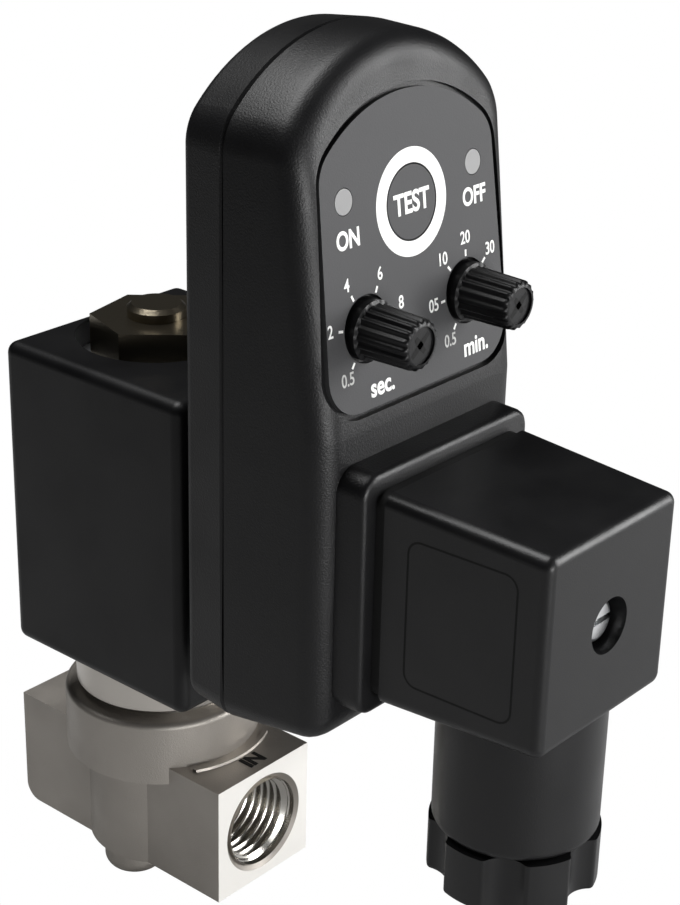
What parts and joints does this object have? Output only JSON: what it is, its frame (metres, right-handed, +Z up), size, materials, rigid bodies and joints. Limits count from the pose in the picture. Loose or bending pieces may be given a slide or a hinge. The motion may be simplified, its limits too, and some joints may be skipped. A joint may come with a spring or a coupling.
{
  "type": "timer controlled drain valve",
  "caption": "Pipe drain solenoid valve with a square coil, a plug-on timer head with two dials, lamps and a test button, and a cable plug with a lobed gland nut.",
  "frame": {"origin": "where the inlet port's thread starts, on its axis, 0.9 mm inside the mouth", "axes": "-Y out of the inlet port and the way the timer's panel faces, +Y out of the outlet port, +Z up along the solenoid, X across"},
  "size_m": [0.0408, 0.0949, 0.1293],
  "materials": {
    "cast_body": "matte cast",
    "steel": "machined",
    "zinc_steel": "bright zinc plated",
    "passivated_nut": "olive passivated",
    "black_resin": "satin moulded",
    "case_plastic": "fine textured satin",
    "panel_film": "matte film",
    "rubber": "matte",
    "seal_red": "matte",
    "copper_wire": "enamelled",
    "contact_brass": "tinned",
    "bobbin_nylon": "matte",
    "board_green": "solder mask",
    "component_black": "gloss",
    "lamp_lens": "translucent",
    "nylon_natural": "matte"
  },
  "bodies": {
    "valve": {"valve_body": "cast_body", "tube_o_ring": "seal_red", "armature_tube": "steel", "fixed_core": "steel", "lock_washer": "zinc_steel", "coil_nut": "passivated_nut", "return_spring": "steel"},
    "coil_and_timer": {"coil_housing": "black_resin", "yoke_frame": "zinc_steel", "bobbin": "bobbin_nylon", "winding": "copper_wire", "coil_blades": "contact_brass", "coil_gasket": "rubber", "plug_gasket": "rubber", "back_shell": "case_plastic", "front_shell": "case_plastic", "label_panel": "panel_film", "off_time_trimmer": "component_black", "on_time_trimmer": "component_black", "on_indicator": "lamp_lens", "off_indicator": "lamp_lens", "circuit_board": "board_green", "push_switch": "component_black", "relay": "component_black", "capacitor": "component_black", "timer_socket": "bobbin_nylon", "timer_blades": "contact_brass", "plug_housing": "black_resin", "plug_insert": "bobbin_nylon", "clamp_screws": "zinc_steel", "plug_screw": "zinc_steel", "gland_nut": "black_resin", "gland_washer": "nylon_natural", "gland_grommet": "rubber"},
    "plunger": {"plunger": "steel", "plunger_seal": "rubber"},
    "off_time_knob": {"off_time_knob": "black_resin", "off_time_spindle": "nylon_natural"},
    "on_time_knob": {"on_time_knob": "black_resin", "on_time_spindle": "nylon_natural"},
    "test_button": {"test_button": "panel_film"}
  },
  "joints": [
    {"name": "coil_swivel", "type": "hinge", "parent": "valve", "child": "coil_and_timer", "pos_m": [0, 0.01935, 0], "axis": [0, 0, 1], "continuous": true},
    {"name": "plunger_lift", "type": "slide", "parent": "valve", "child": "plunger", "axis": [0, 0, 1], "range_m": [0, 0.0022], "stiffness_N_per_m": 300, "springref_m": -0.003, "deforming": ["return_spring"]},
    {"name": "off_time_turn", "type": "hinge", "parent": "coil_and_timer", "child": "off_time_knob", "pos_m": [-0.0094, -0.0255, 0.0837], "axis": [0, -1, 0], "range_deg": [-135, 135]},
    {"name": "on_time_turn", "type": "hinge", "parent": "coil_and_timer", "child": "on_time_knob", "pos_m": [0.0094, -0.0255, 0.0837], "axis": [0, -1, 0], "range_deg": [-135, 135]},
    {"name": "test_button_press", "type": "slide", "parent": "coil_and_timer", "child": "test_button", "axis": [0, 0.992, -0.1262], "range_m": [0, 0.0005], "stiffness_N_per_m": 400, "springref_m": -0.0005}
  ]
}
